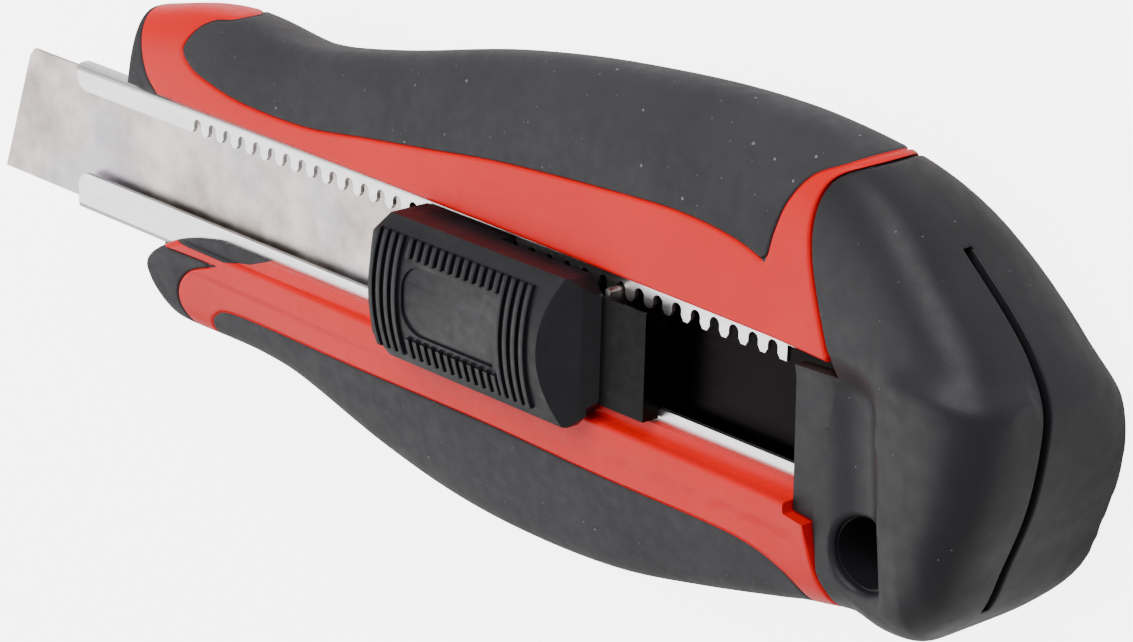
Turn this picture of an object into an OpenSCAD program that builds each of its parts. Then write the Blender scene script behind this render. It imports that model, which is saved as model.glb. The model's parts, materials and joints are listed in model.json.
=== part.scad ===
// Snap-off knife, 18 mm blade, lying on its flat back with the thumb slider up.
// The tip points to -X, the spine (blunt side of the blade) to +Y, the slider to +Z.
// Stations are measured in mm from the mouth of the blade channel towards the end cap;
// place() moves station origin_station to X = 0. Heights are measured from the table.

/* [Handle] */
// Length from the channel's mouth to the rear of the end cap
handle_length = 165; // [163:0.5:168]
// Height of the mid-plane, where the handle's outline is widest
mid_z = 16.5; // [16.2:0.1:16.8]
// Thickness of the soft grip on the red core
grip_depth = 1.6; // [1.2:0.1:2]
// How far the soft grip stands proud of the core
grip_proud = 0.2; // [0.1:0.05:0.3]

/* [Blade] */
// Width of the snap-off blade
blade_w = 18; // [17.8:0.1:18]
// Length of a whole blade
blade_l = 100; // [99:0.5:101]
// Thickness of the blade
blade_t = 0.5; // [0.4:0.05:0.6]
// How far the tip stands out of the mouth at rest
blade_out = 19; // [17:1:21]
// Distance between two score lines
segment_pitch = 10; // [9.5:0.5:10.5]
// Lean of the score lines from square
snap_lean = 20; // [18:1:24]
// Height of the ground bevel along the cutting edge
bevel_h = 1.6; // [1.2:0.1:2]

/* [Channel] */
// Outside width of the steel channel
channel_w = 20; // [19.8:0.1:20]
// Outside depth of the steel channel
channel_d = 2.7; // [2.6:0.1:2.8]
// Sheet thickness of the channel
sheet = 0.6; // [0.5:0.05:0.6]
// Distance between two detent notches
tooth_pitch = 3.03; // [3:0.01:3.03]
// Number of detent notches
notch_count = 35; // [34:1:35]
// Depth of a detent notch
notch_depth = 1.9; // [1.8:0.1:2]

/* [Slider] */
// Length of the thumb pad
pad_l = 36; // [35:0.5:37]
// Height of the pad's crown over the channel's front face
pad_rise = 8; // [7.5:0.1:8.2]
// Radius of the crown across the pad
crown_r = 20; // [19:0.5:22]
// Distance between two grip ribs
rib_pitch = 1.4; // [1.35:0.05:1.45]
// Height of a grip rib
rib_h = 0.5; // [0.4:0.05:0.6]

/* [End cap] */
// Diameter of the lanyard hole
lanyard_d = 8; // [7:0.5:8]
// Width of the slit that snaps segments off
slit_w = 1.2; // [1:0.1:1.3]
// Gap between the end cap and the core
cap_gap = 0.3; // [0.25:0.05:0.4]

/* [Hidden] */
origin_station = 95;
outline_steps = 24;     // sections between the nose and the rear fan
rear_steps = 4;         // points between two control points of the rear curve
meridian_steps = 5;     // points from the crest to the outline
face_z = mid_z + 4.4;   // front face of the channel
far = 60;               // well outside the handle

nose_station = 11.5;
skin_start = 6;
skin_end = handle_length - 12;

// Outline of the handle at its mid-plane, as stations and widths from the blade's centre line.
spine_line = [[0, 17], [12, 19.8], [26, 22.5], [42, 21.5], [58, 24], [80, 29.1], [100, 32.1],
              [122, 33.5], [137, 32.2], [146, 29.1], [skin_end, 23.8], [160, 15]];
belly_line = [[0, -19], [12, -20.4], [27, -21.2], [36, -21.3], [44, -22.2], [60, -26.3], [75, -28.9],
              [90, -29.5], [104, -28.6], [117, -26.1], [130, -23], [142, -19.9],
              [148, -20.4], [skin_end, -19.6], [160, -15]];
rear_curve = [[skin_end, 23.8], [handle_length - 6.4, 18.9], [handle_length - 2.7, 14.8],
              [handle_length - 0.4, 10.2], [handle_length - 0.4, 5.2], [handle_length - 1.7, -1.8],
              [handle_length - 4.4, -9], [handle_length - 7, -15], [skin_end, -19.6]];
// Half thickness towards the slider and towards the table.
front_half = [[0, 5.6], [19, 5.7], [75, 6.5], [130, 7.7], [140, 8.5], [150, 9.5], [158, 10.3], [170, 10.6]];
back_half = [[0, 16.2], [20, 16.7], [60, 16.9], [130, 16.9], [150, 18.8], [170, 18.8]];
// Squareness of the section, from 2 for an ellipse: the back is rounder on the spine side.
front_power = [[0, 2.6], [120, 2.5], [150, 3], [170, 3.2]];
back_power = [[0, 3], [120, 3], [150, 6.8], [170, 6.8]];
spine_back_power = 2.05;
function ease(t) = let (u = min(max(t, 0), 1)) u * u * (3 - 2 * u);
function back_squareness(p) =
    let (spine_share = ease((p[1] + 18) / 36))
    along(back_power, p[0]) * (1 - spine_share) + spine_back_power * spine_share;

// Catmull-Rom curve through control points, as a function of the first coordinate.
function spline_segment(p0, p1, p2, p3, t) =
    0.5 * (2 * p1 + (p2 - p0) * t + (2 * p0 - 5 * p1 + 4 * p2 - p3) * t * t
           + (3 * p1 - p0 - 3 * p2 + p3) * t * t * t);
function segment_index(table, x, i = 0) =
    i >= len(table) - 2 || x < table[i + 1][0] ? i : segment_index(table, x, i + 1);
function tangent(table, i) =
    i == 0 ? (table[1][1] - table[0][1]) / (table[1][0] - table[0][0])
    : i == len(table) - 1 ? (table[i][1] - table[i - 1][1]) / (table[i][0] - table[i - 1][0])
    : (table[i + 1][1] - table[i - 1][1]) / (table[i + 1][0] - table[i - 1][0]);
function hermite(a, b, ma, mb, t) =
    (2 * t^3 - 3 * t^2 + 1) * a + (t^3 - 2 * t^2 + t) * ma + (3 * t^2 - 2 * t^3) * b + (t^3 - t^2) * mb;
function along(table, x) =
    let (i = segment_index(table, x), h = table[i + 1][0] - table[i][0], t = (x - table[i][0]) / h)
    hermite(table[i][1], table[i + 1][1], tangent(table, i) * h, tangent(table, i + 1) * h, t);
// The same curve through a list of plan points, for outlines that turn back.
function smooth(points, steps) = [
    for (i = [0 : len(points) - 2])
        let (last = len(points) - 1, p0 = points[max(i - 1, 0)], p3 = points[min(i + 2, last)])
        for (k = [0 : steps - 1]) spline_segment(p0, points[i], points[i + 1], p3, k / steps),
    points[len(points) - 1]
];

module place() {
    translate([-origin_station, 0, 0]) children();
}

// A plan outline carried through the whole thickness.
module prism(outline, low = -1, high = far) {
    translate([0, 0, low]) linear_extrude(high - low) polygon(outline);
}

// The handle's smooth outer form: meridians run from the front crest over the outline to the back.
module skin(inset = 0) {
    stations = [for (k = [0 : outline_steps])
        skin_start + (skin_end - skin_start) * k / outline_steps];
    rear = smooth(rear_curve, rear_steps);
    outline = concat(
        [for (s = stations) [s, along(spine_line, s) - inset]],
        [for (i = [1 : len(rear) - 2]) rear[i] - [inset, 0]],
        [for (k = [outline_steps : -1 : 0]) [stations[k], along(belly_line, stations[k]) + inset]]
    );
    last = len(outline) - 1;
    function rung(i) = min(i, last - i, outline_steps);
    function root(k) = [stations[k], (outline[k][1] + outline[last - k][1]) / 2];
    function at(i, side, phi) =
        let (power = side > 0 ? along(front_power, outline[i][0]) : back_squareness(outline[i]),
             share = pow(sin(phi), 2 / power),
             plan = root(rung(i)) + (outline[i] - root(rung(i))) * share,
             half = (side > 0 ? along(front_half, plan[0]) : along(back_half, plan[0])) - inset)
        [plan[0], plan[1], mid_z + side * half * pow(cos(phi), 2 / power)];
    inner = 2 * meridian_steps - 1;
    sheet_points = [for (i = [0 : last], j = [1 : inner])
        j <= meridian_steps ? at(i, 1, 90 * j / meridian_steps)
                            : at(i, -1, 90 * (2 * meridian_steps - j) / meridian_steps)];
    front_ridge = [for (k = [0 : outline_steps]) at(k, 1, 0)];
    back_ridge = [for (k = [0 : outline_steps]) at(k, -1, 0)];
    base = (last + 1) * inner;
    function id(i, j) =
        j == 0 ? base + rung(i) : j > inner ? base + outline_steps + 1 + rung(i) : i * inner + j - 1;
    walls = [for (i = [0 : last - 1], j = [0 : inner])
        let (a = id(i, j), b = id(i, j + 1), c = id(i + 1, j + 1), d = id(i + 1, j))
        each a == d ? [[a, b, c]] : b == c ? [[a, b, d]] : [[a, b, c], [a, c, d]]];
    front_face = [concat([for (j = [0 : inner + 1]) id(last, j)], [for (j = [inner : -1 : 1]) id(0, j)])];
    polyhedron(points = concat(sheet_points, front_ridge, back_ridge),
               faces = concat(walls, front_face), convexity = 6);
}

// Plan outlines of the regions, each closed well outside the skin.
spine_grip_front = smooth([[35.5, 25.5], [31, 22.4], [27.3, 21.5], [24.6, 19.8], [23, 17.2], [24.8, 15.5],
    [28.2, 14.4], [36.4, 13.2], [48.7, 13.2], [60.5, 14.7], [71.8, 16.2], [86.4, 18.1], [107, 19.7],
    [116.8, 20.1], [124.9, 19.5], [130.2, 18.2]], 4);
spine_grip_rear = smooth([[130.8, 21.5], [132.1, 25.3], [134.8, 28.8], [139, 31], [144, 34], [147, 38]], 3);
spine_grip_plan = concat(spine_grip_front, spine_grip_rear, [[147, far], [35.5, far]]);
belly_grip_plan = concat(
    smooth([[29.5, -26], [27.4, -22], [27.3, -19.2], [28.8, -17.2], [32, -15.9], [40.6, -15.5], [60.5, -15.2],
            [83.2, -14.8], [104, -15.1], [120.7, -15.1], [127.5, -15.5], [132, -16.8], [134.8, -19],
            [136.5, -23]], 4),
    [[136.5, -far], [29.5, -far]]);
spine_nose_plan = concat([[0, 9], [19.4, 9]],
    smooth([[18.8, 10.2], [16.4, 12], [14.6, 14.5], [13.3, 17.5], [12.9, 20.5], [13.2, 26]], 4), [[0, 26]]);
belly_nose_plan = concat([[0, -10.4], [20, -9.9]],
    smooth([[31.3, -9.6], [25.6, -11.6], [22.6, -14], [21.4, -16.8], [22, -19.4], [24.6, -24]], 4),
    [[0, -24]]);
nose_inlay_plan = [[0, -8.5], [33, -8.5], [38, -7.5], [42, -6], [30, -2], [0, -2]];
// The front ends of the two rails, and the line where the end cap starts.
rail_front = smooth([[36, -5], [32.7, -5.9], [25.8, -7.3], [20.5, -9.2], [15.2, -12.6], [15, -15.6],
    [16.8, -18.8], [20.5, -23.5]], 4);
nose_corner = smooth([[nose_station, -7], [13, -8.8], [15.2, -10.8], [15.2, -15.6], [16.8, -18.8],
    [20.5, -23.5]], 4);
function cap_line(gap, tab) = concat([[150 + gap, far], [148.5 + gap, 36]],
    [for (p = smooth([[146, 32.6], [140.6, 30.8], [137.4, 28.8], [136.3, 25.3], [137, 20.5], [140.3, 12.4],
        [141, 10.8]], 4)) p + [gap, 0]],
    tab ? [[141 + gap, 8.4 - gap], [134.3 + gap, 8 - gap], [134.7 + gap, gap - 9.4], [137.8 + gap, gap - 9.7]]
        : [[138 + gap, -9.7]],
    [for (p = smooth([[138.4, -13], [138.9, -16], [139.8, -19], [141, -26]], 3)) p + [gap, 0]],
    [[141 + gap, -far]]);

module cap_side(gap = 0) {
    behind = [[handle_length + far, -far], [handle_length + far, far]];
    prism(concat(cap_line(gap, true), behind), low = ledge_z);
    prism(concat(cap_line(gap, false), behind), high = ledge_z);
}

// Slot rails: a deep wall on the spine side, and on the belly side a thin ledge over the channel's lip.
slot_top = 10.2;
slot_low = -8.1;
ledge_edge = -6.3;
ledge_z = face_z + 0.3;
fit = 0.05;

module slot_space() {
    translate([-1, slot_low, ledge_z + 0.55])
        cube([handle_length + 2, slot_top - slot_low, far]);
    translate([-1, ledge_edge, face_z - 1])
        cube([handle_length + 2, slot_top - ledge_edge, far]);
    translate([-1, -channel_w / 2 - fit, face_z - channel_d - fit])
        cube([handle_length + 2, channel_w + 2 * fit, channel_d + 2 * fit]);
}

// Magazine behind the channel, open to the rear and closed by the end cap's tongue.
magazine_w = 19.2;
magazine_z = 11;
magazine_h = 3.6;
magazine_start = 24;
magazine_end = 138;

module magazine_space() {
    translate([magazine_start, -magazine_w / 2, magazine_z]) cube([magazine_end, magazine_w, magazine_h]);
}

module table_side() {
    translate([-far, -far, 0]) cube([handle_length + 2 * far, 2 * far, far]);
}

module front_cut() {
    deep = face_z - channel_d - fit;
    prism(concat([[-10, -5], [36, -5]], rail_front, [[20.5, -far], [-10, -far]]), low = deep);
    prism(concat([[-10, -5], [nose_station, -5]], nose_corner, [[20.5, -far], [-10, -far]]), high = deep);
    prism([[-10, -6], [nose_station, -6], [nose_station, far], [-10, far]]);
}

// A soft pad: the skin, slightly proud, inside a plan outline and outside the core.
module soft_pad(plan, low = -1) {
    intersection() {
        difference() {
            skin(-grip_proud);
            skin(grip_depth);
            slot_space();
            front_cut();
            cap_side();
        }
        prism(plan, low);
        table_side();
    }
}

module handle_core() {
    color("crimson") place() difference() {
        intersection() {
            skin();
            table_side();
        }
        difference() {
            union() {
                prism(spine_grip_plan);
                prism(belly_grip_plan);
                prism(spine_nose_plan);
                prism(belly_nose_plan);
                prism(nose_inlay_plan, low = mid_z);
            }
            skin(grip_depth);
        }
        slot_space();
        magazine_space();
        front_cut();
        cap_side();
    }
}

module spine_grip() { color("dimgray") place() soft_pad(spine_grip_plan); }
module belly_grip() { color("dimgray") place() soft_pad(belly_grip_plan); }
module spine_nose_pad() { color("dimgray") place() soft_pad(spine_nose_plan); }
module belly_nose_pad() { color("dimgray") place() soft_pad(belly_nose_plan); }
module nose_inlay() { color("dimgray") place() soft_pad(nose_inlay_plan, low = mid_z); }

// The stainless channel that guides the blade. Its spine-side lip carries the detent notches.
channel_end = 138;
lip_spine = 6.63;
lip_belly = -4.71;
first_notch = 26.2;
notch_w = 1.5;
notch_flare = 0.4;
notch_end = first_notch + (notch_count - 1) * tooth_pitch;
floor_z = face_z - channel_d + sheet;
lip_z = face_z - sheet;

module rounded_bar(w, h, r) {
    translate([-w / 2 + r, 0]) square([w - 2 * r, h]);
    translate([-w / 2, r]) square([w, h - 2 * r]);
    for (y = [-w / 2 + r, w / 2 - r], z = [r, h - r]) translate([y, z]) circle(r, $fn = 48);
}

module along_x(start, length) {
    translate([start, 0, 0]) rotate([90, 0, 90]) linear_extrude(length) children();
}

// Rounds one plan corner of a lip: the waste outside a quarter circle.
module corner_waste(x, y, side, r) {
    translate([x, y, lip_z - 0.2]) difference() {
        translate([-1, side > 0 ? -1 : -r, 0]) cube([r + 1, r + 1, 2]);
        translate([r, side * r, -1]) cylinder(h = 4, r = r, $fn = 48);
    }
}

// One detent notch: a round root and a mouth that flares between the teeth.
module notch() {
    half = notch_w / 2;
    mouth = half + notch_flare;
    root = lip_spine + notch_depth - half;
    translate([0, 0, lip_z - 0.2]) linear_extrude(1.2) {
        polygon([[-mouth, lip_spine - 1], [-mouth, lip_spine], [-half, lip_spine + 1.5 * notch_flare],
                 [-half, root], [half, root], [half, lip_spine + 1.5 * notch_flare], [mouth, lip_spine],
                 [mouth, lip_spine - 1]]);
        translate([0, root]) circle(half, $fn = 24);
    }
}

module blade_channel() {
    color("silver") place() difference() {
        along_x(0, channel_end) translate([0, face_z - channel_d]) rounded_bar(channel_w, channel_d, 0.9);
        along_x(-1, channel_end + 2)
            translate([0, floor_z]) rounded_bar(channel_w - 2 * sheet, channel_d - 2 * sheet, 0.35);
        translate([-1, lip_belly, lip_z - 0.2]) cube([channel_end + 2, lip_spine - lip_belly, 2]);
        translate([notch_end + 2.2, lip_belly + 1, lip_z - 0.2])
            cube([channel_end, lip_spine + notch_depth - lip_belly - 1, 2]);
        for (i = [0 : notch_count - 1]) translate([first_notch + i * tooth_pitch, 0, 0]) notch();
        corner_waste(0, lip_spine, 1, 2.2);
        corner_waste(0, lip_belly, -1, 2.2);
    }
}

// A blade with its tip at x = 0: bevel along the cutting edge, score lines on the back, a hole for the peg.
blade_hole_x = blade_l - 9;
blade_hole_r = 1.6;
edge = blade_w / 2;
score_w = 0.3;
score_depth = 0.12;

module snap_blade() {
    lean = blade_w * tan(snap_lean);
    difference() {
        linear_extrude(blade_t) polygon([[0, -edge], [lean - 0.4, edge - 1.1], [lean + 0.6, edge],
                                         [blade_l, edge], [blade_l - lean, -edge]]);
        translate([-1, -edge, 0.03]) rotate([atan2(blade_t / 2, bevel_h), 0, 0])
            translate([0, -5, 0]) cube([blade_l + 2, 5, 2]);
        for (k = [1 : 8]) translate([k * segment_pitch, -edge, -1]) rotate([0, 0, -snap_lean])
            translate([-score_w / 2, -2, 0]) cube([score_w, blade_w * 2, 1 + score_depth]);
        translate([blade_hole_x, 0, -1]) cylinder(h = 3, r = blade_hole_r, $fn = 48);
    }
}

blade_z = floor_z + 0.05;

module blade() {
    color("lightsteelblue") place() translate([-blade_out, 0, blade_z]) snap_blade();
}

module spare_blade(i) {
    color("lightsteelblue") place()
        translate([magazine_start + 1, 0, magazine_z + 0.05 + i * (blade_t + 0.05)]) snap_blade();
}

module spare_blade_1() { spare_blade(0); }
module spare_blade_2() { spare_blade(1); }
module spare_blade_3() { spare_blade(2); }

// A bowed leaf that presses on the spare blades.
leaf_l = 70;
leaf_w = 8;
leaf_rise = 1.3;
leaf_t = 0.3;

module magazine_spring() {
    r = leaf_l * leaf_l / (8 * leaf_rise);
    top = magazine_z + magazine_h - 0.05;
    color("lightgray") place() translate([magazine_start + 50, leaf_w / 2, top - r]) rotate([90, 0, 0])
        linear_extrude(leaf_w) intersection() {
            difference() {
                circle(r, $fn = 360);
                circle(r - leaf_t, $fn = 360);
            }
            translate([-leaf_l / 2, r - 3]) square([leaf_l, 3]);
        }
}

// The slider: a carrier that runs in the channel, a thumb pad over it, and a sprung detent leaf.
pad_start = 69;
pad_end = pad_start + pad_l;
pad_low = -8.6;
pad_high = 9.3;
skirt_z = face_z + 3.9;
pad_z = face_z + 0.35;
tail_end = 112;
neck_low = -4.4;
neck_high = 4.6;
detent_x = first_notch + 26 * tooth_pitch;
leaf_y = 5.1;
detent_leaf_t = 0.4;
leaf_root = 88;
curl_r = 0.7;
leaf_z = lip_z + 0.02;
leaf_h = 2.6;

module crown(extra = 0) {
    along_x(pad_start - 1, pad_l + 2)
        translate([0.35, face_z + pad_rise - crown_r]) circle(crown_r + extra, $fn = 96);
}

// Room for the detent leaf to swing out of the notches.
module leaf_room() {
    translate([0, 0, lip_z - 0.03]) linear_extrude(leaf_h + 0.4)
        polygon([[leaf_root - 0.9, leaf_y - 0.6], [leaf_root + 0.9, leaf_y - 0.6], [detent_x - 3, 3.1],
                 [tail_end + 1, 1.9], [tail_end + 1, 11], [leaf_root - 0.9, 11]]);
}

module blade_carrier() {
    plate_z = blade_z + blade_t + 0.05;
    color("dimgray") place() difference() {
        union() {
            translate([66, -9.2, plate_z]) cube([tail_end - 66, 18.4, lip_z - 0.08 - plate_z]);
            translate([pad_start + 2, neck_low, plate_z])
                cube([tail_end - pad_start - 2, neck_high - neck_low, pad_z - plate_z]);
            translate([pad_end - 3, neck_low - 1.4, pad_z - 0.1]) cube([tail_end - pad_end + 3, 13, 2.4]);
            translate([-blade_out + blade_hole_x, 0, floor_z + 0.15])
                cylinder(h = lip_z - floor_z - 0.3, r = blade_hole_r - 0.05, $fn = 48);
        }
        leaf_room();
        pad_body();
    }
}

module pad_plan(low) {
    polygon([[pad_start + 2.6, low], [pad_start, low + 3.2], [pad_start, pad_high - 3.2],
             [pad_start + 2.6, pad_high], [pad_end - 2.4, pad_high], [pad_end, pad_high - 2.4],
             [pad_end, low + 2.4], [pad_end - 2.4, low]]);
}

// The crowned pad over a base that clears the ledge and a skirt that reaches over the belly rail.
module pad_body() {
    base_low = -5.9;
    intersection() {
        crown();
        union() {
            translate([0, 0, pad_z]) linear_extrude(far) pad_plan(low = base_low);
            translate([0, 0, face_z + 1.3]) linear_extrude(far) pad_plan(low = -7.6);
            translate([0, 0, skirt_z]) linear_extrude(far) pad_plan(low = pad_low);
        }
        translate([0, far / 2, 0]) rotate([90, 0, 0]) linear_extrude(far)
            polygon([[pad_start, 0], [pad_start, face_z + 5.8], [pad_start + 1.6, face_z + pad_rise + 1],
                     [pad_end - 6.6, face_z + pad_rise + 1], [pad_end - 4.4, face_z + pad_rise - 0.7],
                     [pad_end - 1.4, face_z + pad_rise - 3.4], [pad_end, face_z + 2.2], [pad_end, 0]]);
    }
}

module rib(x, low, high) {
    translate([x - rib_pitch / 4, low, skirt_z]) cube([rib_pitch / 2, high - low, far]);
}

plaque_start = pad_start + 7;
plaque_end = pad_start + 23;
rib_low = -7.3;
rib_high = 7.6;
plaque_low = -4;
plaque_high = 4.6;
side_ribs = 12;

module plaque_plan() {
    r = 3;
    translate([plaque_start + r, plaque_low])
        square([plaque_end - plaque_start - r, plaque_high - plaque_low]);
    translate([plaque_start, plaque_low + r]) square([r, plaque_high - plaque_low - 2 * r]);
    for (y = [plaque_low + r, plaque_high - r]) translate([plaque_start + r, y]) circle(r, $fn = 48);
}

module thumb_slider() {
    color("dimgray") place() difference() {
        union() {
            difference() {
                pad_body();
                leaf_room();
            }
            intersection() {
                crown(rib_h);
                union() {
                    for (k = [0 : 3]) rib(pad_start + 1.9 + k * rib_pitch, rib_low, rib_high);
                    for (k = [0 : side_ribs - 1]) {
                        rib(plaque_start + 0.9 + k * rib_pitch, rib_low, plaque_low - 0.7);
                        rib(plaque_start + 0.9 + k * rib_pitch, plaque_high + 0.7, rib_high);
                    }
                    for (k = [0 : 3]) rib(plaque_end + 1.5 + k * rib_pitch, rib_low, rib_high);
                }
            }
        }
        difference() {
            translate([0, 0, skirt_z]) linear_extrude(far) plaque_plan();
            crown(-0.35);
        }
        translate([leaf_root, leaf_y + detent_leaf_t / 2, 0])
            cylinder(h = face_z + 3, r = curl_r + 0.08, $fn = 32);
    }
}

// The leaf stands on edge beside the neck, and its bent end drops into the notches.
module detent_spring() {
    reach = lip_spine + notch_depth - notch_w / 2 - 0.1;
    color("silver") place() {
        translate([leaf_root, leaf_y, leaf_z]) cube([detent_x + 0.42 - leaf_root, detent_leaf_t, leaf_h]);
        translate([detent_x - 0.42, leaf_y, leaf_z]) cube([0.84, reach - leaf_y, leaf_h]);
        translate([detent_x, reach, leaf_z]) cylinder(h = leaf_h, r = 0.42, $fn = 24);
        translate([leaf_root, leaf_y + detent_leaf_t / 2, leaf_z]) cylinder(h = leaf_h, r = curl_r, $fn = 32);
    }
}

// End cap: soft rear shell with the snap slit and the lanyard hole, on a stiff frame with a tongue.
lanyard_x = 145.5;
lanyard_y = -11;
slit_start = 150.5;
slit_low = -15;
slit_high = 24.3;
frame_z = magazine_z + 0.15;
frame_h = magazine_h - 0.3;
tongue_start = 128;
frame_end = 149;

module lanyard_bore() {
    translate([lanyard_x, lanyard_y, -1]) cylinder(h = far, d = lanyard_d, $fn = 64);
}

module tongue() {
    translate([tongue_start, -magazine_w / 2 + 0.15, frame_z])
        cube([frame_end - tongue_start, magazine_w - 0.3, frame_h]);
}

module cap_frame() {
    color("gray") place() difference() {
        tongue();
        lanyard_bore();
    }
}

// The sunk front of the cap: the flat tab over the slot's end and a valley into the lanyard hole.
module cap_valley() {
    tab_z = face_z + 2.1;
    for (k = [0 : 5]) translate([0, 8 - k * 3.1, 0]) rotate([90, 0, 0]) linear_extrude(3.1)
        polygon([[100, tab_z], [141, tab_z], [144.5 + 0.4 * k, tab_z - 0.5], [147.5 + 0.5 * k, tab_z + 1.5],
                 [150 + 0.7 * k, far], [100, far]]);
}

module end_cap() {
    color("dimgray") place() difference() {
        intersection() {
            skin();
            cap_side(cap_gap);
            table_side();
        }
        tongue();
        lanyard_bore();
        translate([-1, slot_low, face_z - channel_d - cap_gap])
            cube([channel_end + cap_gap + 1, slot_top - slot_low, channel_d + 2 * cap_gap]);
        translate([slit_start, slit_low, mid_z - slit_w / 2]) cube([far, slit_high - slit_low, slit_w]);
        cap_valley();
    }
}

handle_core();
spine_grip();
belly_grip();
spine_nose_pad();
belly_nose_pad();
nose_inlay();
blade_channel();
blade();
thumb_slider();
blade_carrier();
detent_spring();
end_cap();
cap_frame();
magazine_spring();
spare_blade_1();
spare_blade_2();
spare_blade_3();
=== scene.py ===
import json
import math

import bmesh
import bpy
import numpy as np
from mathutils import Matrix, Vector

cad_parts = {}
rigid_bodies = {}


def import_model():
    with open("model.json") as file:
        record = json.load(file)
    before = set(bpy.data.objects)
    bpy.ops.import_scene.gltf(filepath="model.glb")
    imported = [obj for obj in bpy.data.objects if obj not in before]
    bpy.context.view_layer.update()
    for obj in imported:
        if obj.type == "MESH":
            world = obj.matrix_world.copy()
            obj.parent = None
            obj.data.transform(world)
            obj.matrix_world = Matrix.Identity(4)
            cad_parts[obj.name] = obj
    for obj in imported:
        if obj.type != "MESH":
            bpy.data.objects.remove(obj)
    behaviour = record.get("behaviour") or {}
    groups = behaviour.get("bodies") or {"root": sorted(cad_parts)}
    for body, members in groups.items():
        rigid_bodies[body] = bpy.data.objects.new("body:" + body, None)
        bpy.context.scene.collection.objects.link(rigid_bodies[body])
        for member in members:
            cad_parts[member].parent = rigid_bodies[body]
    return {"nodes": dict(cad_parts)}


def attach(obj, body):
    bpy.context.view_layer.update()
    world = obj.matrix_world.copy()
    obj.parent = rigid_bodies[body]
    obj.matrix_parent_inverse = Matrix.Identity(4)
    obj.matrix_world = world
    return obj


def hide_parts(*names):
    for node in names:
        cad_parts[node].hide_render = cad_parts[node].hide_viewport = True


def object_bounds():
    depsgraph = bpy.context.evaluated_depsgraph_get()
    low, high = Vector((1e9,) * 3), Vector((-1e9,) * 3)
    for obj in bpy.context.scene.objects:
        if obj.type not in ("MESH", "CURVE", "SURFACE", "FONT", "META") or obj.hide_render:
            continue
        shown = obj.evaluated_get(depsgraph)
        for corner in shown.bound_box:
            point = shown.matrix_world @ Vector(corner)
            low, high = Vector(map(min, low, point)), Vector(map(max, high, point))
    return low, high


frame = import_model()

CAD_BOUNDS = [list(map(float, corner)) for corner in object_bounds()]
MM = 0.001

# ---------------------------------------------------------------- measures, in mm
# They are part.scad's own: stations run from the mouth of the blade channel to the end cap,
# and station ORIGIN is x = 0. Widths are from the blade's centre line, heights from the table.
ORIGIN = 95.0
HANDLE_LENGTH = 165.0
MID_Z = 16.5
FACE_Z = MID_Z + 4.4
FAR = 60.0              # beyond the part, in plan and in height
BELOW = -5.0            # under the table
AHEAD = -1.0            # in front of the handle's nose
BEYOND = 200.0          # behind the end cap
SKIN_START = 6.0
SKIN_END = HANDLE_LENGTH - 12
NOSE = 11.5
CHANNEL_W = 20.0
CHANNEL_D = 2.7
CHANNEL_END = 138.0
SLOT_TOP = 10.2
SLOT_LOW = -8.1
LEDGE_EDGE = -6.3
LEDGE_Z = FACE_Z + 0.3
DEEP_Z = FACE_Z - CHANNEL_D - 0.05
CAP_GAP = 0.3
SLIT_W = 1.2
SLIT_START = 150.5
SLIT_EDGE_START = 150.8
SLIT_LOW = -15.0
SLIT_TOP = 24.3
LANYARD = (145.5, -11.0)
LANYARD_R = 4.0
MAGAZINE = (24, BEYOND, -9.6, 9.6, 11, 14.6)
TONGUE_ROOM = (120, 149, -9.45, 9.45, 11.15, 14.45)

# The grooves, raised grips and rounded edges that only the Blender form has.
GRIP_GROOVE = 0.4
GRIP_PROUD = 0.18
GRIP_CROWN = 1.2        # over this width a grip rises to its height
SLOT_EDGE = 0.55
NOSE_EDGE = 1.3
BORE_EDGE = 0.9
SLIT_EDGE = 0.25
RAIL_STEP = 0.35
OVERLAP = 0.3           # so that stacked cutters leave no film between them

# How the form is cut and shaded.
NO_EDGE = 9.0           # a field's value where it has no edge nearby
CHUNK = 4000            # points measured at a time
BEND_ANGLES = (18, 36, 54, 75)
MERGE = 4e-6
SLIVER = 2e-6

SPINE_LINE = [(0, 17), (12, 19.8), (26, 22.5), (42, 21.5), (58, 24), (80, 29.1), (100, 32.1),
              (122, 33.5), (137, 32.2), (146, 29.1), (SKIN_END, 23.8), (160, 15)]
BELLY_LINE = [(0, -19), (12, -20.4), (27, -21.2), (36, -21.3), (44, -22.2), (60, -26.3),
              (75, -28.9), (90, -29.5), (104, -28.6), (117, -26.1), (130, -23), (142, -19.9),
              (148, -20.4), (SKIN_END, -19.6), (160, -15)]
REAR_CURVE = [(SKIN_END, 23.8), (158.6, 18.9), (162.3, 14.8), (164.6, 10.2), (164.6, 5.2),
              (163.3, -1.8), (160.6, -9), (158, -15), (SKIN_END, -19.6)]
FRONT_HALF = [(0, 5.6), (19, 5.7), (75, 6.5), (130, 7.7), (140, 8.5), (150, 9.5), (158, 10.3),
              (170, 10.6)]
BACK_HALF = [(0, 16.2), (20, 16.7), (60, 16.9), (130, 16.9), (150, 18.8), (170, 18.8)]
FRONT_POWER = [(0, 2.6), (120, 2.5), (150, 3), (170, 3.2)]
BACK_POWER = [(0, 3), (120, 3), (150, 6.8), (170, 6.8)]
SPINE_BACK_POWER = 2.05

# ---------------------------------------------------------------- curves


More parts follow.
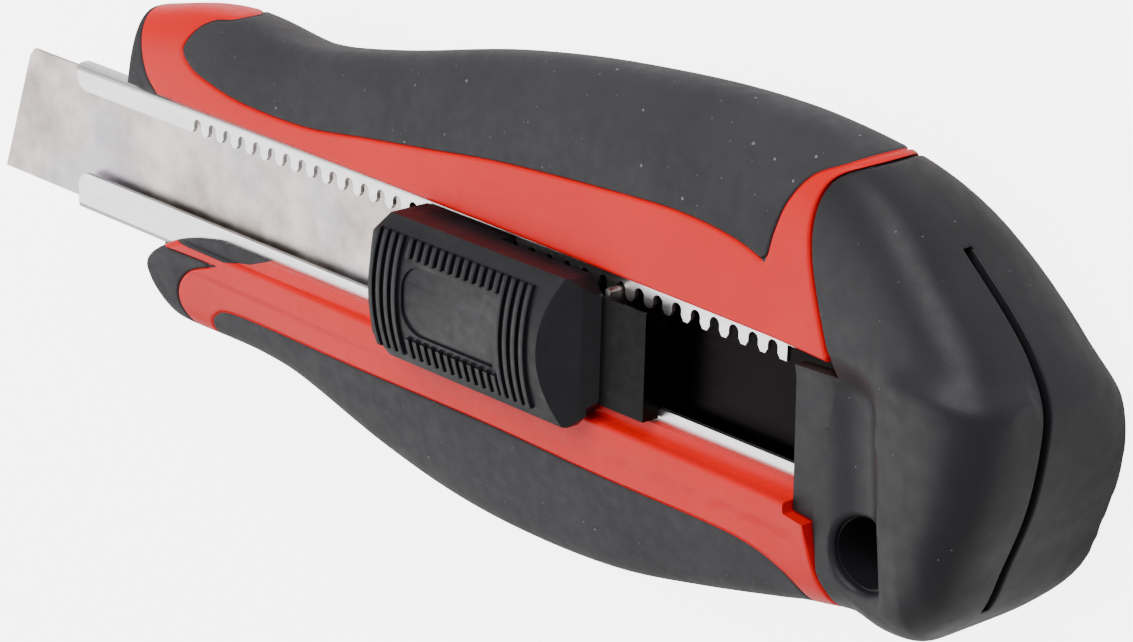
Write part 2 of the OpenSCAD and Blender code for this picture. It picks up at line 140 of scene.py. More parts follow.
def along(table, x):
    """Smooth curve through a table's points, at every x."""
    points = np.array(table, float)
    x = np.asarray(x, float)
    slopes = np.diff(points[:, 1]) / np.diff(points[:, 0])
    inner = (points[2:, 1] - points[:-2, 1]) / (points[2:, 0] - points[:-2, 0])
    tangents = np.concatenate([slopes[:1], inner, slopes[-1:]])
    i = np.clip(np.searchsorted(points[:, 0], x, side="right") - 1, 0, len(points) - 2)
    h = points[i + 1, 0] - points[i, 0]
    t = (x - points[i, 0]) / h
    return ((2 * t**3 - 3 * t**2 + 1) * points[i, 1] + (t**3 - 2 * t**2 + t) * tangents[i] * h
            + (3 * t**2 - 2 * t**3) * points[i + 1, 1] + (t**3 - t**2) * tangents[i + 1] * h)


def smooth(points, steps=10):
    """Catmull-Rom curve through plan points."""
    p = np.array(points, float)
    last = len(p) - 1
    curve = []
    for i in range(last):
        before, a, b, after = p[max(i - 1, 0)], p[i], p[i + 1], p[min(i + 2, last)]
        for k in range(steps):
            t = k / steps
            curve.append(0.5 * (2 * a + (b - before) * t
                                + (2 * before - 5 * a + 4 * b - after) * t * t
                                + (3 * a - before - 3 * b + after) * t**3))
    curve.append(p[last])
    return curve


def ease(t):
    """A smooth step from 0 to 1."""
    u = np.clip(t, 0, 1)
    return u * u * (3 - 2 * u)


# Plan outlines of the regions, the same as in part.scad.
SPINE_GRIP = smooth([(35.5, 25.5), (31, 22.4), (27.3, 21.5), (24.6, 19.8), (23, 17.2),
                     (24.8, 15.5), (28.2, 14.4), (36.4, 13.2), (48.7, 13.2), (60.5, 14.7),
                     (71.8, 16.2), (86.4, 18.1), (107, 19.7), (116.8, 20.1), (124.9, 19.5),
                     (130.2, 18.2)])
SPINE_GRIP += smooth([(130.8, 21.5), (132.1, 25.3), (134.8, 28.8), (139, 31), (144, 34), (147, 38)])
SPINE_GRIP += [(147, FAR), (35.5, FAR)]
BELLY_GRIP = smooth([(29.5, -26), (27.4, -22), (27.3, -19.2), (28.8, -17.2), (32, -15.9),
                     (40.6, -15.5), (60.5, -15.2), (83.2, -14.8), (104, -15.1), (120.7, -15.1),
                     (127.5, -15.5), (132, -16.8), (134.8, -19), (136.5, -23)])
BELLY_GRIP += [(136.5, -FAR), (29.5, -FAR)]
SPINE_NOSE = [(0, 9), (19.4, 9)]
SPINE_NOSE += smooth([(18.8, 10.2), (16.4, 12), (14.6, 14.5), (13.3, 17.5), (12.9, 20.5),
                      (13.2, 26)])
SPINE_NOSE += [(0, 26)]
BELLY_NOSE = [(0, -10.4), (20, -9.9)]
BELLY_NOSE += smooth([(31.3, -9.6), (25.6, -11.6), (22.6, -14), (21.4, -16.8), (22, -19.4),
                      (24.6, -24)])
BELLY_NOSE += [(0, -24)]
NOSE_INLAY = [(0, -8.5), (33, -8.5), (38, -7.5), (42, -6), (30, -2), (0, -2)]
RAIL_FRONT = smooth([(36, -5), (32.7, -5.9), (25.8, -7.3), (20.5, -9.2), (15.2, -12.6),
                     (15, -15.6), (16.8, -18.8), (20.5, -23.5)])
RAIL_WASTE = [(-10, -5), (36, -5)] + RAIL_FRONT + [(20.5, -FAR), (-10, -FAR)]
NOSE_CORNER = smooth([(NOSE, -7), (13, -8.8), (15.2, -10.8), (15.2, -15.6), (16.8, -18.8),
                      (20.5, -23.5)])
CORNER_WASTE = [(-10, -5), (NOSE, -5)] + NOSE_CORNER + [(20.5, -FAR), (-10, -FAR)]
SPINE_WASTE = [(-10, -6), (NOSE, -6), (NOSE, FAR), (-10, FAR)]
CAP_SPINE = smooth([(146, 32.6), (140.6, 30.8), (137.4, 28.8), (136.3, 25.3), (137, 20.5),
                    (140.3, 12.4), (141, 10.8)])
CAP_BELLY = smooth([(138.4, -13), (138.9, -16), (139.8, -19), (141, -26)])


def cap_outline(gap, tab):
    """Plan of all that lies behind the cap's front line, with or without the slot's tab."""
    shift = np.array([gap, 0])
    outline = [(150 + gap, FAR), (148.5 + gap, 36)] + [tuple(p + shift) for p in CAP_SPINE]
    if tab:
        outline += [(141 + gap, 8.4 - gap), (134.3 + gap, 8 - gap),
                    (134.7 + gap, gap - 9.4), (137.8 + gap, gap - 9.7)]
    else:
        outline += [(138 + gap, -9.7)]
    outline += [tuple(p + shift) for p in CAP_BELLY]
    rear = HANDLE_LENGTH + FAR
    return outline + [(141 + gap, -FAR), (rear, -FAR), (rear, FAR)]


# ---------------------------------------------------------------- the handle's outer form


def back_squareness(outline):
    """How square the back's section is, rounder on the spine side."""
    share = ease((outline[:, 1] + 18) / 36)
    return along(BACK_POWER, outline[:, 0]) * (1 - share) + SPINE_BACK_POWER * share


def skin_grid(sections=150, rear_steps=10, front_steps=38, back_steps=30):
    """Meridians from the front crest over the outline to the back, evenly spaced along each one."""
    stations = np.linspace(SKIN_START, SKIN_END, sections + 1)
    rear = np.array(smooth(REAR_CURVE, rear_steps))[1:-1]
    spine = np.c_[stations, along(SPINE_LINE, stations)]
    belly = np.c_[stations, along(BELLY_LINE, stations)]
    outline = np.vstack([spine, rear, belly[::-1]])
    order = np.arange(len(outline))
    rung = np.minimum(np.minimum(order, len(outline) - 1 - order), sections)
    root = np.c_[stations, (spine[:, 1] + belly[:, 1]) / 2][rung]
    fine = np.radians(np.linspace(0, 90, 300))
    rows = []
    for side, steps in ((1, front_steps), (-1, back_steps)):
        power = along(FRONT_POWER, outline[:, 0]) if side > 0 else back_squareness(outline)
        exponent = (2 / power)[:, None]
        share = np.sin(fine)[None, :] ** exponent
        rise = np.clip(np.cos(fine), 0, 1)[None, :] ** exponent
        plan = root[:, None, :] + (outline - root)[:, None, :] * share[:, :, None]
        half = along(FRONT_HALF if side > 0 else BACK_HALF, plan[:, :, 0])
        curve = np.dstack([plan, MID_Z + side * half * rise])
        steps_along = np.linalg.norm(np.diff(curve, axis=1), axis=2)
        length = np.concatenate([np.zeros((len(curve), 1)), np.cumsum(steps_along, axis=1)], axis=1)
        even = np.empty((len(curve), steps + 1, 3))
        for i in range(len(curve)):
            at = np.linspace(0, length[i, -1], steps + 1)
            for axis in range(3):
                even[i, :, axis] = np.interp(at, length[i], curve[i, :, axis])
        rows.append(even if side > 0 else even[:, ::-1][:, 1:])
    return np.concatenate(rows, axis=1)


class Sheet:
    """A triangle mesh with vertex normals that can be cut along the level lines of a field."""

    def __init__(self, grid):
        across, down, _ = grid.shape
        points = grid.reshape(-1, 3)
        keys = np.round(points, 4)
        _, first, same = np.unique(keys, axis=0, return_index=True, return_inverse=True)
        same = same.reshape(-1)
        i, j = np.meshgrid(np.arange(across - 1), np.arange(down - 1), indexing="ij")
        a = (i * down + j).ravel()
        b = a + 1
        c = a + down + 1
        d = a + down
        triangles = np.vstack([np.c_[a, c, b], np.c_[a, d, c]])
        # a fan closes the open end between the first and the last meridian
        last = (across - 1) * down
        rim = list(range(down)) + [last + j for j in range(down - 2, 0, -1)]
        fan = np.array([(rim[0], rim[k], rim[k + 1]) for k in range(1, len(rim) - 1)])
        triangles = same[np.vstack([triangles, fan])]
        good = ((triangles[:, 0] != triangles[:, 1]) & (triangles[:, 1] != triangles[:, 2])
                & (triangles[:, 2] != triangles[:, 0]))
        self.points = points[first]
        self.triangles = triangles[good]
        self.normals = self.face_normals()

    def face_normals(self):
        """Each vertex's normal, from the faces round it."""
        p, t = self.points, self.triangles
        face = np.cross(p[t[:, 1]] - p[t[:, 0]], p[t[:, 2]] - p[t[:, 0]])
        normals = np.zeros_like(p)
        for k in range(3):
            np.add.at(normals, t[:, k], face)
        return normals / np.maximum(np.linalg.norm(normals, axis=1), 1e-12)[:, None]

    def relax(self, weight, passes):
        """Evens the surface out where the weight says so."""
        t = self.triangles
        ends = np.vstack([t[:, [0, 1]], t[:, [1, 2]], t[:, [2, 0]]])
        count = np.bincount(ends[:, 0], minlength=len(self.points))[:, None]
        for _ in range(passes):
            total = np.zeros_like(self.points)
            np.add.at(total, ends[:, 0], self.points[ends[:, 1]])
            self.points = self.points + weight[:, None] * (total / count - self.points)
        self.normals = self.face_normals()

    def cut(self, field, levels, near=0.02):
        """Adds vertices where the field crosses each level, on the curved surface."""
        value = field(self.points)
        for level in levels:
            known = len(value)
            self.cut_at(value - level, near)
            value = np.concatenate([value, field(self.points[known:])])

    def cut_at(self, value, near):
        """Splits every triangle that the value changes sign in."""
        value[np.abs(value) < near] = 0
        t = self.triangles
        sign = np.sign(value)
        crossed = np.abs(sign[t]).sum(axis=1) - np.abs(sign[t].sum(axis=1)) > 0
        keep, work = t[~crossed], t[crossed]
        if not len(work):
            return
        edges = np.sort(np.vstack([work[:, [0, 1]], work[:, [1, 2]], work[:, [2, 0]]]), axis=1)
        edges = np.unique(edges[sign[edges[:, 0]] * sign[edges[:, 1]] < 0], axis=0)
        a, b = edges[:, 0], edges[:, 1]
        share = (value[a] / (value[a] - value[b]))[:, None]
        flat = self.points[a] * (1 - share) + self.points[b] * share
        to_a = ((flat - self.points[a]) * self.normals[a]).sum(axis=1)[:, None] * self.normals[a]
        to_b = ((flat - self.points[b]) * self.normals[b]).sum(axis=1)[:, None] * self.normals[b]
        curved = flat - 0.5 * (to_a * (1 - share) + to_b * share)
        normal = self.normals[a] * (1 - share) + self.normals[b] * share
        normal /= np.linalg.norm(normal, axis=1)[:, None]
        new = {(int(m), int(n)): len(self.points) + k for k, (m, n) in enumerate(edges)}
        self.points = np.vstack([self.points, curved])
        self.normals = np.vstack([self.normals, normal])
        pieces = []
        for row in work:
            ring = []
            for k in range(3):
                m, n = int(row[k]), int(row[(k + 1) % 3])
                ring.append(m)
                middle = new.get((min(m, n), max(m, n)))
                if middle is not None:
                    ring.append(middle)
            marks = [k for k, v in enumerate(ring) if v >= len(value) or sign[v] == 0]
            start = marks[0]
            ring = ring[start:] + ring[:start]
            split = marks[1] - start
            for part in (ring[:split + 1], ring[split:] + ring[:1]):
                pieces += [(part[0], part[k], part[k + 1]) for k in range(1, len(part) - 1)]
        self.triangles = np.vstack([keep, np.array(pieces)])

    def mesh(self, name):
        """The sheet as a Blender mesh, in metres, kept inside the CAD's box."""
        mesh = bpy.data.meshes.new(name)
        points = (self.points - [ORIGIN, 0, 0]) * MM
        mesh.from_pydata(np.clip(points, *CAD_BOUNDS).tolist(), [], self.triangles.tolist())
        mesh.validate()
        return mesh


def distance(outline, part=None, elsewhere=lambda signed: -NO_EDGE):
    """Signed plan distance to a closed outline, positive inside, for the front, back or both."""
    ring = np.array([tuple(p) for p in outline], float)
    start, end = ring, np.roll(ring, -1, axis=0)

    def field(points):
        if len(points) > CHUNK:
            return np.concatenate([field(points[k:k + CHUNK])
                                   for k in range(0, len(points), CHUNK)])
        q = points[:, None, :2]
        step = end - start
        square = np.maximum((step**2).sum(axis=1), 1e-12)
        t = np.clip(((q - start) * step).sum(axis=2) / square, 0, 1)
        gap = np.linalg.norm(q - (start + t[:, :, None] * step), axis=2).min(axis=1)
        above = (start[:, 1] > q[:, :, 1]) != (end[:, 1] > q[:, :, 1])
        rise = np.where(np.abs(step[:, 1]) < 1e-12, 1e-12, step[:, 1])
        x = start[:, 0] + (q[:, :, 1] - start[:, 1]) / rise * step[:, 0]
        inside = (above & (q[:, :, 0] < x)).sum(axis=1) % 2 == 1
        signed = np.where(inside, gap, -gap)
        if part is None:
            return signed
        return np.where((points[:, 2] > DEEP_Z) == (part == "front"), signed, elsewhere(signed))

    return field


def rounding(field, radius, outside=True):
    """How far the surface sinks next to an edge at the field's zero, as a quarter circle."""
    def sink(points):
        d = -field(points) if outside else field(points)
        u = np.clip(1 - d / radius, 0, 1)
        return radius * (1 - np.sqrt(1 - u * u))

    return sink


def loops(sheet, field, radius, sides=(-1, 1)):
    """Cuts the edge line and lines beside it, so that the rounding has vertices to bend."""
    bends = [radius * (1 - math.cos(math.radians(angle))) for angle in BEND_ANGLES]
    bends.append(radius * 1.15)
    sheet.cut(field, [0.0] + [side * bend for side in sides for bend in bends])


# ---------------------------------------------------------------- cutting pieces out of it


def link(name, mesh):
    """A new object with this mesh, in the scene."""
    piece = bpy.data.objects.new(name, mesh)
    bpy.context.scene.collection.objects.link(piece)
    return piece


def prism(outline, low=BELOW, high=FAR):
    """A plan outline carried from one height to another, as a cutter."""
    ring = [((p[0] - ORIGIN) * MM, p[1] * MM) for p in outline]
    area = sum(a[0] * b[1] - b[0] * a[1] for a, b in zip(ring, ring[1:] + ring[:1]))
    if area < 0:
        ring.reverse()
    n = len(ring)
    points = [(x, y, low * MM) for x, y in ring] + [(x, y, high * MM) for x, y in ring]
    faces = [tuple(reversed(range(n))), tuple(range(n, 2 * n))]
    faces += [(k, (k + 1) % n, n + (k + 1) % n, n + k) for k in range(n)]
    mesh = bpy.data.meshes.new("cutter")
    mesh.from_pydata(points, [], faces)
    return link("cutter", mesh)


def block(x0, x1, y0, y1, z0, z1):
    return prism([(x0, y0), (x1, y0), (x1, y1), (x0, y1)], z0, z1)


def disc(centre, radius, steps=72):
    return [(centre[0] + radius * math.cos(2 * math.pi * k / steps),
             centre[1] + radius * math.sin(2 * math.pi * k / steps)) for k in range(steps)]


def finished(mesh, angle=38):
    """Merges slivers and shades the mesh smooth up to an angle."""
    form = bmesh.new()
    form.from_mesh(mesh)
    bmesh.ops.remove_doubles(form, verts=form.verts, dist=MERGE)
    bmesh.ops.dissolve_degenerate(form, edges=form.edges, dist=SLIVER)
    form.to_mesh(mesh)
    form.free()
    mesh.polygons.foreach_set("use_smooth", [True] * len(mesh.polygons))
    mesh.set_sharp_from_angle(angle=math.radians(angle))
    return mesh


def carve(name, mesh, keep=(), cut=()):
    """The mesh inside every cutter of keep and outside every cutter of cut."""
    piece = link(name, mesh.copy())
    for operation, cutters in (("INTERSECT", keep), ("DIFFERENCE", cut)):
        for cutter in cutters:
            step = piece.modifiers.new("carve", "BOOLEAN")
            step.operation = operation
            step.solver = "MANIFOLD"
            step.object = cutter
    deps = bpy.context.evaluated_depsgraph_get()
    result = bpy.data.meshes.new_from_object(piece.evaluated_get(deps))
    piece.modifiers.clear()
    piece.data = finished(result)
    return piece


def clear_cutters():
    for piece in [item for item in bpy.data.objects if item.name.startswith("cutter")]:
        bpy.data.objects.remove(piece, do_unlink=True)


# ---------------------------------------------------------------- the pieces


def slot_field(points):
    """Positive over the slot, on the slider's side only."""
    y = points[:, 1]
    inside = np.minimum(SLOT_TOP - y, y - SLOT_LOW)
    return np.where(points[:, 2] > MID_Z, inside, -NO_EDGE)


def build_body():
    """One outer surface with every groove and edge, cut into the core and the soft grips."""
    sheet = Sheet(skin_grid())
    soft_outlines = (SPINE_GRIP, BELLY_GRIP, SPINE_NOSE, BELLY_NOSE)
    grips = [distance(outline) for outline in soft_outlines]
    cap = distance(cap_outline(0, False))
    fronts = [distance(RAIL_WASTE, "front"), distance(CORNER_WASTE, "back"),
              distance(SPINE_WASTE)]
    for field in grips:
        loops(sheet, field, GRIP_GROOVE)
    loops(sheet, cap, GRIP_GROOVE, sides=(-1,))
    loops(sheet, slot_field, SLOT_EDGE, sides=(-1,))
    for field in fronts:
        loops(sheet, field, NOSE_EDGE, sides=(-1,))
    p = sheet.points
    sink = np.zeros(len(p))
    for field in grips:
        d = field(p)
        near = np.clip(1 - np.abs(d) / GRIP_GROOVE, 0, 1)
        sink = np.maximum(sink, GRIP_GROOVE * (1 - np.sqrt(1 - near ** 2)))
        sink = sink - np.where(d > 0, GRIP_PROUD * ease(d / GRIP_CROWN), 0)
    sink = np.maximum(sink, rounding(cap, GRIP_GROOVE)(p))
    sink = np.maximum(sink, rounding(slot_field, SLOT_EDGE)(p))
    for field in fronts:
        sink = np.maximum(sink, rounding(field, NOSE_EDGE)(p))
    front = p[:, 2] > MID_Z
    # the step along the rail on the belly side, faded out at both ends
    step = ease((-11.4 - p[:, 1]) / 0.9) * ease((p[:, 0] - 20) / 10) * ease((139 - p[:, 0]) / 6)
    sink = sink + np.where(front, RAIL_STEP * step, 0)
    sheet.points = p - sheet.normals * sink[:, None]
    body = sheet.mesh("body_form")

    soft = [prism(outline) for outline in soft_outlines] + [prism(NOSE_INLAY, MID_Z)]
    half = CHANNEL_W / 2 + 0.05
    waste = [
        block(AHEAD, BEYOND, SLOT_LOW, SLOT_TOP, LEDGE_Z + 0.55, FAR),
        block(AHEAD, BEYOND, LEDGE_EDGE, SLOT_TOP, FACE_Z - 1, FAR),
        block(AHEAD, BEYOND, -half, half, DEEP_Z, FACE_Z + 0.05),
        prism(RAIL_WASTE, DEEP_Z),
        prism(CORNER_WASTE, BELOW, DEEP_Z + OVERLAP),
        prism(SPINE_WASTE),
        prism(cap_outline(0, True), LEDGE_Z),
        prism(cap_outline(0, False), BELOW, LEDGE_Z + OVERLAP),
    ]
    pieces = {"core": (carve("core", body, cut=waste + [block(*MAGAZINE)] + soft), "handle_core")}
    soft_nodes = {"spine_soft_grip": "spine_grip", "belly_soft_grip": "belly_grip",
                  "spine_nose_soft": "spine_nose_pad", "belly_nose_soft": "belly_nose_pad",
                  "inlay_soft": "nose_inlay"}
    for (name, node), cutter in zip(soft_nodes.items(), soft):
        pieces[name] = (carve(name, body, keep=[cutter], cut=waste), node)
    clear_cutters()
    for piece, node in pieces.values():
        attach(piece, "handle")
        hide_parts(node)
    return {name: piece for name, (piece, node) in pieces.items()}


def build_cap():
    """The end cap: tab and valley in front, rounded edges, lanyard hole and snap slit."""
    sheet = Sheet(skin_grid(sections=170, rear_steps=16, front_steps=60, back_steps=30))
    start = sheet.points
    sheet.relax(0.6 * ease((start[:, 0] - 146) / 5), 5)
    # the soft crease where the spine's slope meets the rear
    p = sheet.points
    crease = (np.exp(-((p[:, 1] - 10.5) / 2) ** 2) * ease((p[:, 0] - 148) / 5)
              * ease((p[:, 2] - MID_Z - 1) / 2))
    sheet.points = p + sheet.normals * (0.8 * crease)[:, None]
    sheet.normals = sheet.face_normals()

    def far_off(signed):
        return np.copysign(NO_EDGE, signed)

    front_line = distance(cap_outline(CAP_GAP, True), "front", far_off)
    back_line = distance(cap_outline(CAP_GAP, False), "back", far_off)

    def bore(points):
        return LANYARD_R - np.hypot(points[:, 0] - LANYARD[0], points[:, 1] - LANYARD[1])

    def slit(points):
        gap = SLIT_W / 2 - np.abs(points[:, 2] - MID_Z)
        across = np.minimum(points[:, 1] - SLIT_LOW, SLIT_TOP - points[:, 1])
        return np.minimum(gap, np.minimum(points[:, 0] - SLIT_EDGE_START, across))

    loops(sheet, front_line, GRIP_GROOVE, sides=(1,))
    loops(sheet, back_line, GRIP_GROOVE, sides=(1,))
    loops(sheet, bore, BORE_EDGE, sides=(-1,))
    loops(sheet, slit, SLIT_EDGE, sides=(-1,))
    p = sheet.points
    # the sunk front: a flat tab, a valley behind it and a slope up to the bulge
    lean = (8 - p[:, 1]) * 0.10
    low = FACE_Z + 2.1 - 0.7 * ease((p[:, 0] - 139 - lean) / 4.5)
    high = FACE_Z + 9
    slope = ease((p[:, 0] - 144.5 - lean) / 9.5)
    target = low + (high - low) * slope
    weight = ease((12.2 - p[:, 1]) / 6.5) * ease((p[:, 1] + 19) / 6)
    drop = np.maximum(p[:, 2] - target, 0) * weight
    front = (p[:, 2] > MID_Z + 1) & (p[:, 0] > 130)
    p[:, 2] -= np.where(front, drop, 0)
    sheet.points = p
    sheet.normals = sheet.face_normals()
    sink = rounding(bore, BORE_EDGE)(p)
    for line in (front_line, back_line):
        sink = np.maximum(sink, rounding(line, GRIP_GROOVE, outside=False)(p))
    sink = np.maximum(sink, rounding(slit, SLIT_EDGE)(p))
    sheet.points = p - sheet.normals * sink[:, None]
    cap = sheet.mesh("cap_form")
    front_part = prism(cap_outline(CAP_GAP, True), LEDGE_Z)
    back_part = prism(cap_outline(CAP_GAP, False), BELOW, LEDGE_Z + OVERLAP)
    join = front_part.modifiers.new("join", "BOOLEAN")
    join.operation = "UNION"
    join.solver = "MANIFOLD"
    join.object = back_part
    cuts = [
        block(AHEAD, CHANNEL_END + CAP_GAP, SLOT_LOW, SLOT_TOP, DEEP_Z - CAP_GAP, LEDGE_Z),
        prism(disc(LANYARD, LANYARD_R)),
        block(SLIT_START, BEYOND, SLIT_LOW, SLIT_TOP, MID_Z - SLIT_W / 2, MID_Z + SLIT_W / 2),
        block(*TONGUE_ROOM),
    ]
    piece = carve("rear_cap", cap, keep=[front_part], cut=cuts)
    clear_cutters()
    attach(piece, "cap")
    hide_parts("end_cap")
    return piece


# ---------------------------------------------------------------- materials

MIX_FIRST, MIX_SECOND, MIX_COLOUR = 6, 7, 2     # the colour sockets of a Mix node
STEEL_INSIDE = 9.42                             # half the channel's width, inside and outside
STEEL_OUTSIDE = 9.5


class Look:
    """A short way to write a node material."""

    def __init__(self, name, colour, rough, metal=0.0):
        self.material = bpy.data.materials.new(name)
        self.material.use_nodes = True
        self.tree = self.material.node_tree
        self.shader = self.tree.nodes["Principled BSDF"]
        self.set("Base Color", (*colour, 1))
        self.set("Roughness", rough)
        self.set("Metallic", metal)
        self.where = self.tree.nodes.new("ShaderNodeTexCoord").outputs["Object"]

    def set(self, socket, value):
        self.shader.inputs[socket].default_value = value

    def node(self, kind, **inputs):
        node = self.tree.nodes.new(kind)
        for name, value in inputs.items():
            socket = node.inputs[name.replace("_", " ")]
            if isinstance(value, bpy.types.NodeSocket):
                self.tree.links.new(value, socket)
            else:
                socket.default_value = value
        return node

    def noise(self, scale, detail=3.0, stretch=(1, 1, 1), rough=0.55):
        mapping = self.node("ShaderNodeMapping", Vector=self.where, Scale=stretch)
        return self.node("ShaderNodeTexNoise", Vector=mapping.outputs["Vector"], Scale=scale,
                         Detail=detail, Roughness=rough).outputs["Fac"]

    def spread(self, value, low, high, to_low, to_high):
        node = self.node("ShaderNodeMapRange", Value=value)
        node.inputs["From Min"].default_value = low
        node.inputs["From Max"].default_value = high
        node.inputs["To Min"].default_value = to_low
        node.inputs["To Max"].default_value = to_high
        return node.outputs["Result"]

    def varied(self, low, high, scale, detail, stretch=(1, 1, 1)):
        """A value that wanders between two limits over the surface."""
        return self.spread(self.noise(scale, detail, stretch), 0.3, 0.7, low, high)

    def mix(self, share, first, second):
        node = self.tree.nodes.new("ShaderNodeMix")
        node.data_type = "RGBA"
        self.tree.links.new(share, node.inputs[0])
        for socket, value in ((node.inputs[MIX_FIRST], first), (node.inputs[MIX_SECOND], second)):
            if isinstance(value, bpy.types.NodeSocket):
                self.tree.links.new(value, socket)
            else:
                socket.default_value = (*value, 1)
        return node.outputs[MIX_COLOUR]

    def bump(self, height, strength, depth, below=None):
        node = self.node("ShaderNodeBump", Height=height, Strength=strength, Distance=depth)
        if below is not None:
            self.tree.links.new(below, node.inputs["Normal"])
        return node.outputs["Normal"]

    def maths(self, operation, *values):
        """The result of one Math node."""
        node = self.tree.nodes.new("ShaderNodeMath")
        node.operation = operation
        for value, socket in zip(values, node.inputs):
            self.tree.links.new(value, socket)
        return node.outputs[0]

    def wire(self, value, socket):
        self.tree.links.new(value, self.shader.inputs[socket])

    def specks(self, scale, size):
        """A mask of small scattered dots, such as dust."""
        node = self.node("ShaderNodeTexVoronoi", Vector=self.where, Scale=scale)
        near = self.spread(node.outputs["Distance"], size, size * 0.6, 0, 1)
        pick = self.node("ShaderNodeSeparateColor", Color=node.outputs["Color"])
        chosen = self.spread(pick.outputs[0], 0.86, 0.9, 0, 1)
        return self.maths("MULTIPLY", near, chosen)


def red_plastic():
    look = Look("red_plastic", (0.66, 0.0, 0.001), 0.36)
    look.set("Specular IOR Level", 0.2)
    tone = look.mix(look.varied(0, 1, 60, 2), (0.74, 0.0, 0.002), (0.82, 0.001, 0.003))
    look.wire(tone, "Base Color")
    look.wire(look.varied(0.3, 0.42, 900, 4), "Roughness")
    fine = look.bump(look.noise(3500, 3), 0.12, 0.00006)
    look.wire(look.bump(look.noise(240, 2), 0.06, 0.0003, fine), "Normal")
    return look.material


def soft_grip():
    look = Look("soft_grip", (0.03, 0.029, 0.033), 0.66)
    look.set("Specular IOR Level", 0.3)
    look.set("Sheen Weight", 0.06)
    look.set("Sheen Roughness", 0.4)
    tone = look.mix(look.varied(0, 1, 70, 3), (0.026, 0.0255, 0.029), (0.036, 0.035, 0.039))
    dusty = look.mix(look.specks(560, 0.12), tone, (0.2, 0.2, 0.2))
    look.wire(look.mix(look.specks(1300, 0.14), dusty, (0.12, 0.12, 0.125)), "Base Color")
    look.wire(look.varied(0.58, 0.74, 500, 4), "Roughness")
    grain = look.bump(look.noise(5200, 3), 0.35, 0.00006)
    look.wire(look.bump(look.noise(1500, 2), 0.2, 0.00008, grain), "Normal")
    return look.material


def cap_rubber():
    look = Look("cap_rubber", (0.013, 0.013, 0.015), 0.44)
    look.set("Specular IOR Level", 0.3)
    tone = look.mix(look.varied(0, 1, 45, 3), (0.010, 0.010, 0.012), (0.015, 0.015, 0.018))
    look.wire(look.mix(look.specks(800, 0.1), tone, (0.12, 0.12, 0.125)), "Base Color")
    look.wire(look.varied(0.4, 0.52, 380, 4), "Roughness")
    grain = look.bump(look.noise(4800, 3), 0.25, 0.00005)
    look.wire(look.bump(look.noise(1300, 2), 0.15, 0.00006, grain), "Normal")
    return look.material


def slider_black():
    look = Look("slider_black", (0.01, 0.01, 0.012), 0.42)
    look.set("Specular IOR Level", 0.3)
    tone = look.mix(look.varied(0, 1, 160, 3), (0.008, 0.008, 0.010), (0.013, 0.013, 0.016))
    look.wire(tone, "Base Color")
    look.wire(look.varied(0.34, 0.5, 700, 4), "Roughness")
    look.wire(look.bump(look.noise(4200, 3), 0.25, 0.00005), "Normal")
    return look.material


def carrier_black_and_shade():
    # partly the carrier's own black plastic, partly painted shade: darker than the slider's black
    # for the shaded slot
    look = Look("carrier_black_and_shade", (0.002, 0.002, 0.002), 0.3)
    look.set("Specular IOR Level", 0.08)
    look.wire(look.varied(0.24, 0.4, 600, 3), "Roughness")
    look.wire(look.bump(look.noise(2600, 3), 0.2, 0.00005), "Normal")
    return look.material


def frame_black():
    look = Look("frame_black", (0.02, 0.02, 0.021), 0.6)
    look.wire(look.varied(0.52, 0.68, 600, 3), "Roughness")
    look.wire(look.bump(look.noise(3000, 3), 0.2, 0.00005), "Normal")
    return look.material


def channel_steel():
    """Bright outside; inside, where the blade runs, painted shade as a near-black base colour."""
    look = Look("channel_steel", (0.9, 0.9, 0.9), 0.3, 1.0)
    axes = look.node("ShaderNodeSeparateXYZ", Vector=look.where).outputs
    high = look.spread(axes["Z"], (FACE_Z - 1.0) * MM, (FACE_Z - 0.8) * MM, 0, 1)
    side = look.maths("ABSOLUTE", axes["Y"])
    outer = look.spread(side, STEEL_INSIDE * MM, STEEL_OUTSIDE * MM, 0, 1)
    unshaded = look.maths("MAXIMUM", high, outer)
    steel_tone = look.mix(look.noise(90, 4), (0.84, 0.83, 0.83), (0.96, 0.95, 0.95))
    # painted shade: below the lips and between the channel's walls the base colour is near black
    look.wire(look.mix(unshaded, (0.004, 0.003, 0.003), steel_tone), "Base Color")
    look.wire(look.varied(0.26, 0.4, 400, 4, (0.15, 3, 3)), "Roughness")
    look.wire(look.bump(look.noise(1200, 4, (0.06, 3, 3)), 0.1, 0.00003), "Normal")
    return look.material


def blade_steel():
    look = Look("blade_steel", (0.6, 0.57, 0.56), 0.34, 1.0)
    patches = look.spread(look.noise(110, 5, rough=0.62), 0.38, 0.62, 0, 1)
    warm = look.mix(patches, (0.42, 0.365, 0.34), (0.66, 0.60, 0.575))
    cool = look.spread(look.noise(60, 3), 0.52, 0.66, 0, 0.6)
    look.wire(look.mix(cool, warm, (0.46, 0.45, 0.52)), "Base Color")
    look.wire(look.varied(0.28, 0.46, 300, 5), "Roughness")
    grind = look.bump(look.noise(1500, 4, (3, 0.08, 1)), 0.18, 0.00003)
    look.wire(look.bump(look.noise(700, 5), 0.12, 0.00004, grind), "Normal")
    return look.material


def spring_steel():
    look = Look("spring_steel", (0.62, 0.6, 0.58), 0.3, 1.0)
    look.wire(look.varied(0.24, 0.4, 500, 3), "Roughness")
    look.wire(look.bump(look.noise(1500, 3, (0.1, 2, 2)), 0.15, 0.00003), "Normal")
    return look.material


def dress(piece, material):
    piece.data.materials.clear()
    piece.data.materials.append(material)


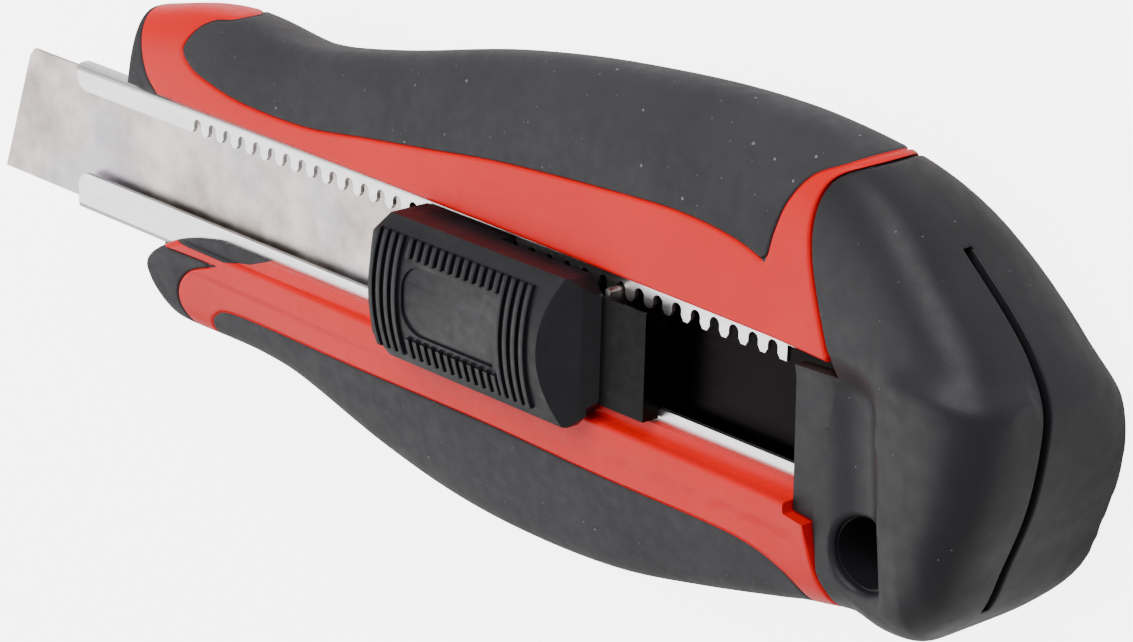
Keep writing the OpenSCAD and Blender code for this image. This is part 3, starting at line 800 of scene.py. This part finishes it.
def wear(node, material, bevel=0.0):
    """Gives a CAD node its material and, where asked, small rounded edges."""
    piece = frame["nodes"][node]
    if piece.material_slots:
        for slot in piece.material_slots:
            slot.material = material
    else:
        piece.data.materials.append(material)
    if bevel:
        weld = piece.modifiers.new("weld", "WELD")
        weld.merge_threshold = SLIVER
        rounded = piece.modifiers.new("edges", "BEVEL")
        rounded.width = bevel * MM
        rounded.segments = 2
        rounded.limit_method = "ANGLE"
        rounded.angle_limit = math.radians(35)
        rounded.harden_normals = True


# ---------------------------------------------------------------- camera
# The view is on the slider's side from behind the end cap, with the camera rolled.
LENS = 124.7
EYE = Vector(((408.2 - ORIGIN) * MM, 153.7 * MM, (287.5 + FACE_Z) * MM))
RIGHT = Vector((0.6707, 0.0249, -0.7413))
UP = Vector((-0.2665, 0.9408, -0.2095))


def make_camera():
    right = RIGHT.normalized()
    back = right.cross(UP).normalized()
    up = back.cross(right)
    turn = Matrix((right, up, back)).transposed().to_4x4()
    data = bpy.data.cameras.new("camera")
    data.lens = LENS
    data.sensor_width = 36.0
    data.clip_end = 20.0
    camera = bpy.data.objects.new("camera", data)
    camera.matrix_world = Matrix.Translation(EYE) @ turn
    bpy.context.scene.collection.objects.link(camera)
    bpy.context.scene.camera = camera


# ---------------------------------------------------------------- stage and light


def make_floor():
    """A pale floor that glows for the camera only, so the backdrop stays near white."""
    size = 3.0
    mesh = bpy.data.meshes.new("floor")
    corners = [(-size, -size, 0), (size, -size, 0), (size, size, 0), (-size, size, 0)]
    mesh.from_pydata(corners, [], [(0, 1, 2, 3)])
    look = Look("floor_white", (0.93, 0.93, 0.93), 0.9)
    look.set("Emission Color", (1, 1, 1, 1))
    seen = look.tree.nodes.new("ShaderNodeLightPath").outputs["Is Camera Ray"]
    look.wire(look.spread(seen, 0, 1, 0, 5), "Emission Strength")
    mesh.materials.append(look.material)
    link("floor", mesh)


def area_light(name, at, size, power, towards=(0, 0, 0)):
    data = bpy.data.lights.new(name, "AREA")
    data.shape = "RECTANGLE"
    data.size, data.size_y = size
    data.energy = power
    light = bpy.data.objects.new(name, data)
    light.location = at
    light.rotation_euler = (Vector(towards) - Vector(at)).to_track_quat("-Z", "Y").to_euler()
    bpy.context.scene.collection.objects.link(light)


def make_world():
    world = bpy.data.worlds.new("studio")
    world.use_nodes = True
    background = world.node_tree.nodes["Background"]
    background.inputs["Color"].default_value = (1, 1, 1, 1)
    background.inputs["Strength"].default_value = 0.55
    bpy.context.scene.world = world


# ---------------------------------------------------------------- the whole knife
make_camera()
make_floor()
make_world()
area_light("window", (-0.9, -0.44, 0.83), (1.2, 1.2), 10)
area_light("top", (0.1, 0.75, 0.75), (0.9, 0.7), 10.5)

body = build_body()
cap = build_cap()
red, soft = red_plastic(), soft_grip()
for name, piece in body.items():
    dress(piece, red if name == "core" else soft)
dress(cap, cap_rubber())
black, steel, spring = slider_black(), channel_steel(), spring_steel()
blade_look = blade_steel()
wear("thumb_slider", black, 0.3)
# the carrier's material holds painted shade for the dim slot
wear("blade_carrier", carrier_black_and_shade())
wear("blade_channel", steel, 0.12)
wear("blade", blade_look)
for node in ("spare_blade_1", "spare_blade_2", "spare_blade_3"):
    wear(node, blade_look)
wear("detent_spring", spring)
wear("magazine_spring", spring)
wear("cap_frame", frame_black())
